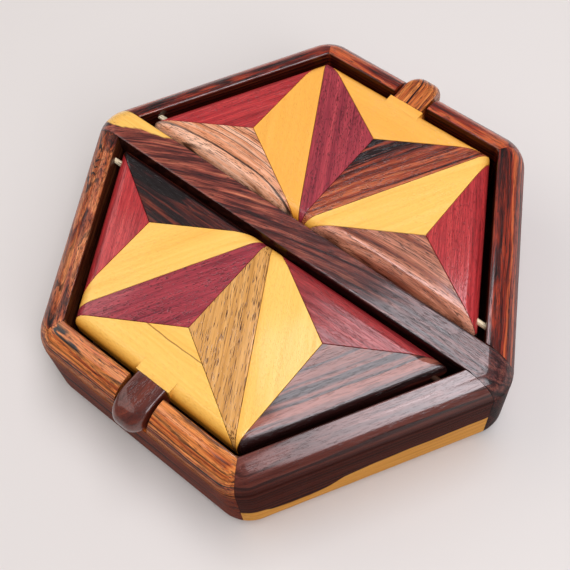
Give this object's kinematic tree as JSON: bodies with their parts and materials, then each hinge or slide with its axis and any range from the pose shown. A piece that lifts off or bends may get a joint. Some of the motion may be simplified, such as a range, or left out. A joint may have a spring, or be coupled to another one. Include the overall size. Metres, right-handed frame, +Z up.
{
  "type": "parquetry jewelry box",
  "caption": "Hexagonal wooden jewelry box: a bar parts its compartments, under swinging lids that form a parquetry star and have finger tongues.",
  "frame": {"origin": "middle of the base, on the plane the box stands on", "axes": "+X along the centre bar to the right, +Y across the bar to the far lid, +Z up"},
  "size_m": [0.1788, 0.1714, 0.0415],
  "materials": {
    "rosewood": "gloss lacquer, dark striped grain",
    "orange_rosewood": "gloss lacquer, orange-brown striped grain",
    "dark_rosewood": "gloss lacquer, nearly black striped grain",
    "red_wood": "satin lacquer, fine pores",
    "purple_wood": "satin lacquer, fine straight grain",
    "yellow_wood": "satin lacquer, very even grain",
    "tan_wood": "satin lacquer, long dark pores",
    "pale_dowel": "plain turned dowel",
    "panel_wood": "satin lacquer"
  },
  "bodies": {
    "case": {"left_near_wall": "rosewood", "near_wall": "orange_rosewood", "right_near_wall": "rosewood", "right_far_wall": "rosewood", "far_wall": "rosewood", "left_far_wall": "rosewood", "centre_bar": "rosewood", "near_bottom_panel": "panel_wood", "far_bottom_panel": "panel_wood", "near_left_hinge_pin": "pale_dowel", "near_right_hinge_pin": "pale_dowel", "far_left_hinge_pin": "pale_dowel", "far_right_hinge_pin": "pale_dowel"},
    "near_lid": {"near_left_outer": "red_wood", "near_left_inner": "dark_rosewood", "near_left_ray": "yellow_wood", "near_middle_left_ray": "purple_wood", "near_middle_outer": "yellow_wood", "near_middle_right_ray": "tan_wood", "near_right_ray": "yellow_wood", "near_right_outer": "dark_rosewood", "near_right_inner": "red_wood", "near_tongue": "dark_rosewood"},
    "far_lid": {"far_left_outer": "red_wood", "far_left_inner": "orange_rosewood", "far_left_ray": "yellow_wood", "far_middle_left_ray": "purple_wood", "far_middle_outer": "yellow_wood", "far_middle_right_ray": "rosewood", "far_right_ray": "yellow_wood", "far_right_outer": "red_wood", "far_right_inner": "orange_rosewood", "far_tongue": "orange_rosewood"}
  },
  "joints": [
    {"name": "near_lid_hinge", "type": "hinge", "parent": "case", "child": "near_lid", "pos_m": [0, -0.01245, 0.0373], "axis": [-1, 0, 0], "range_deg": [0, 97]},
    {"name": "far_lid_hinge", "type": "hinge", "parent": "case", "child": "far_lid", "pos_m": [0, 0.01245, 0.0373], "axis": [1, 0, 0], "range_deg": [0, 97]}
  ]
}
